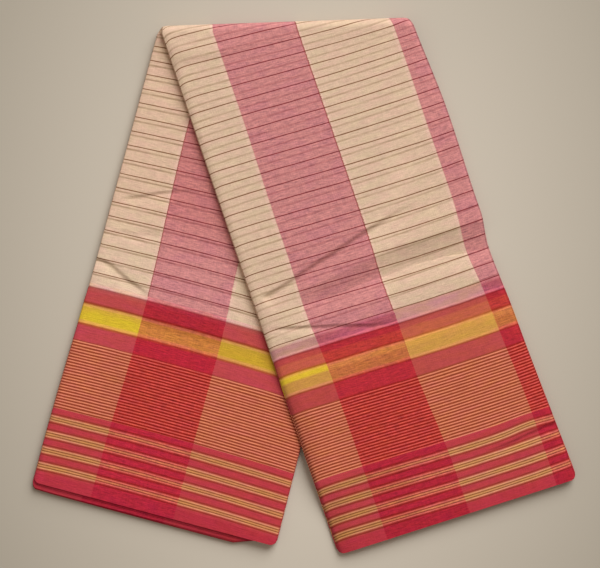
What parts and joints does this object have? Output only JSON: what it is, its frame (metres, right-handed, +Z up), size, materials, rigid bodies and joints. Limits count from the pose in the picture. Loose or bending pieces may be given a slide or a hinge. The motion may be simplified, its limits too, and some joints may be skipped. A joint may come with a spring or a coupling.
{
  "type": "folded cotton saree",
  "caption": "Handloom cotton saree pleated into a wide flat strip and folded over once, both striped borders fanned out side by side.",
  "frame": {"origin": "on the floor, under the middle of the folded bundle's bounding box", "axes": "+Z up from the floor, +Y towards the crease that the strip is folded over, +X to the right when the borders point towards the viewer"},
  "size_m": [0.6057, 0.5983, 0.021],
  "materials": {
    "showing_cloth": "matt handloom cotton in cream and pink stripes with thin rust cross lines and a red, yellow and gold-striped border",
    "hidden_layers": "matt cotton pleat folds and selvedges in the same stripes"
  },
  "bodies": {
    "root": {"under_leg_panel": "showing_cloth", "over_leg_panel": "showing_cloth", "under_leg_layers": "hidden_layers", "turn_layers": "hidden_layers", "over_leg_layers": "hidden_layers"}
  },
  "joints": []
}
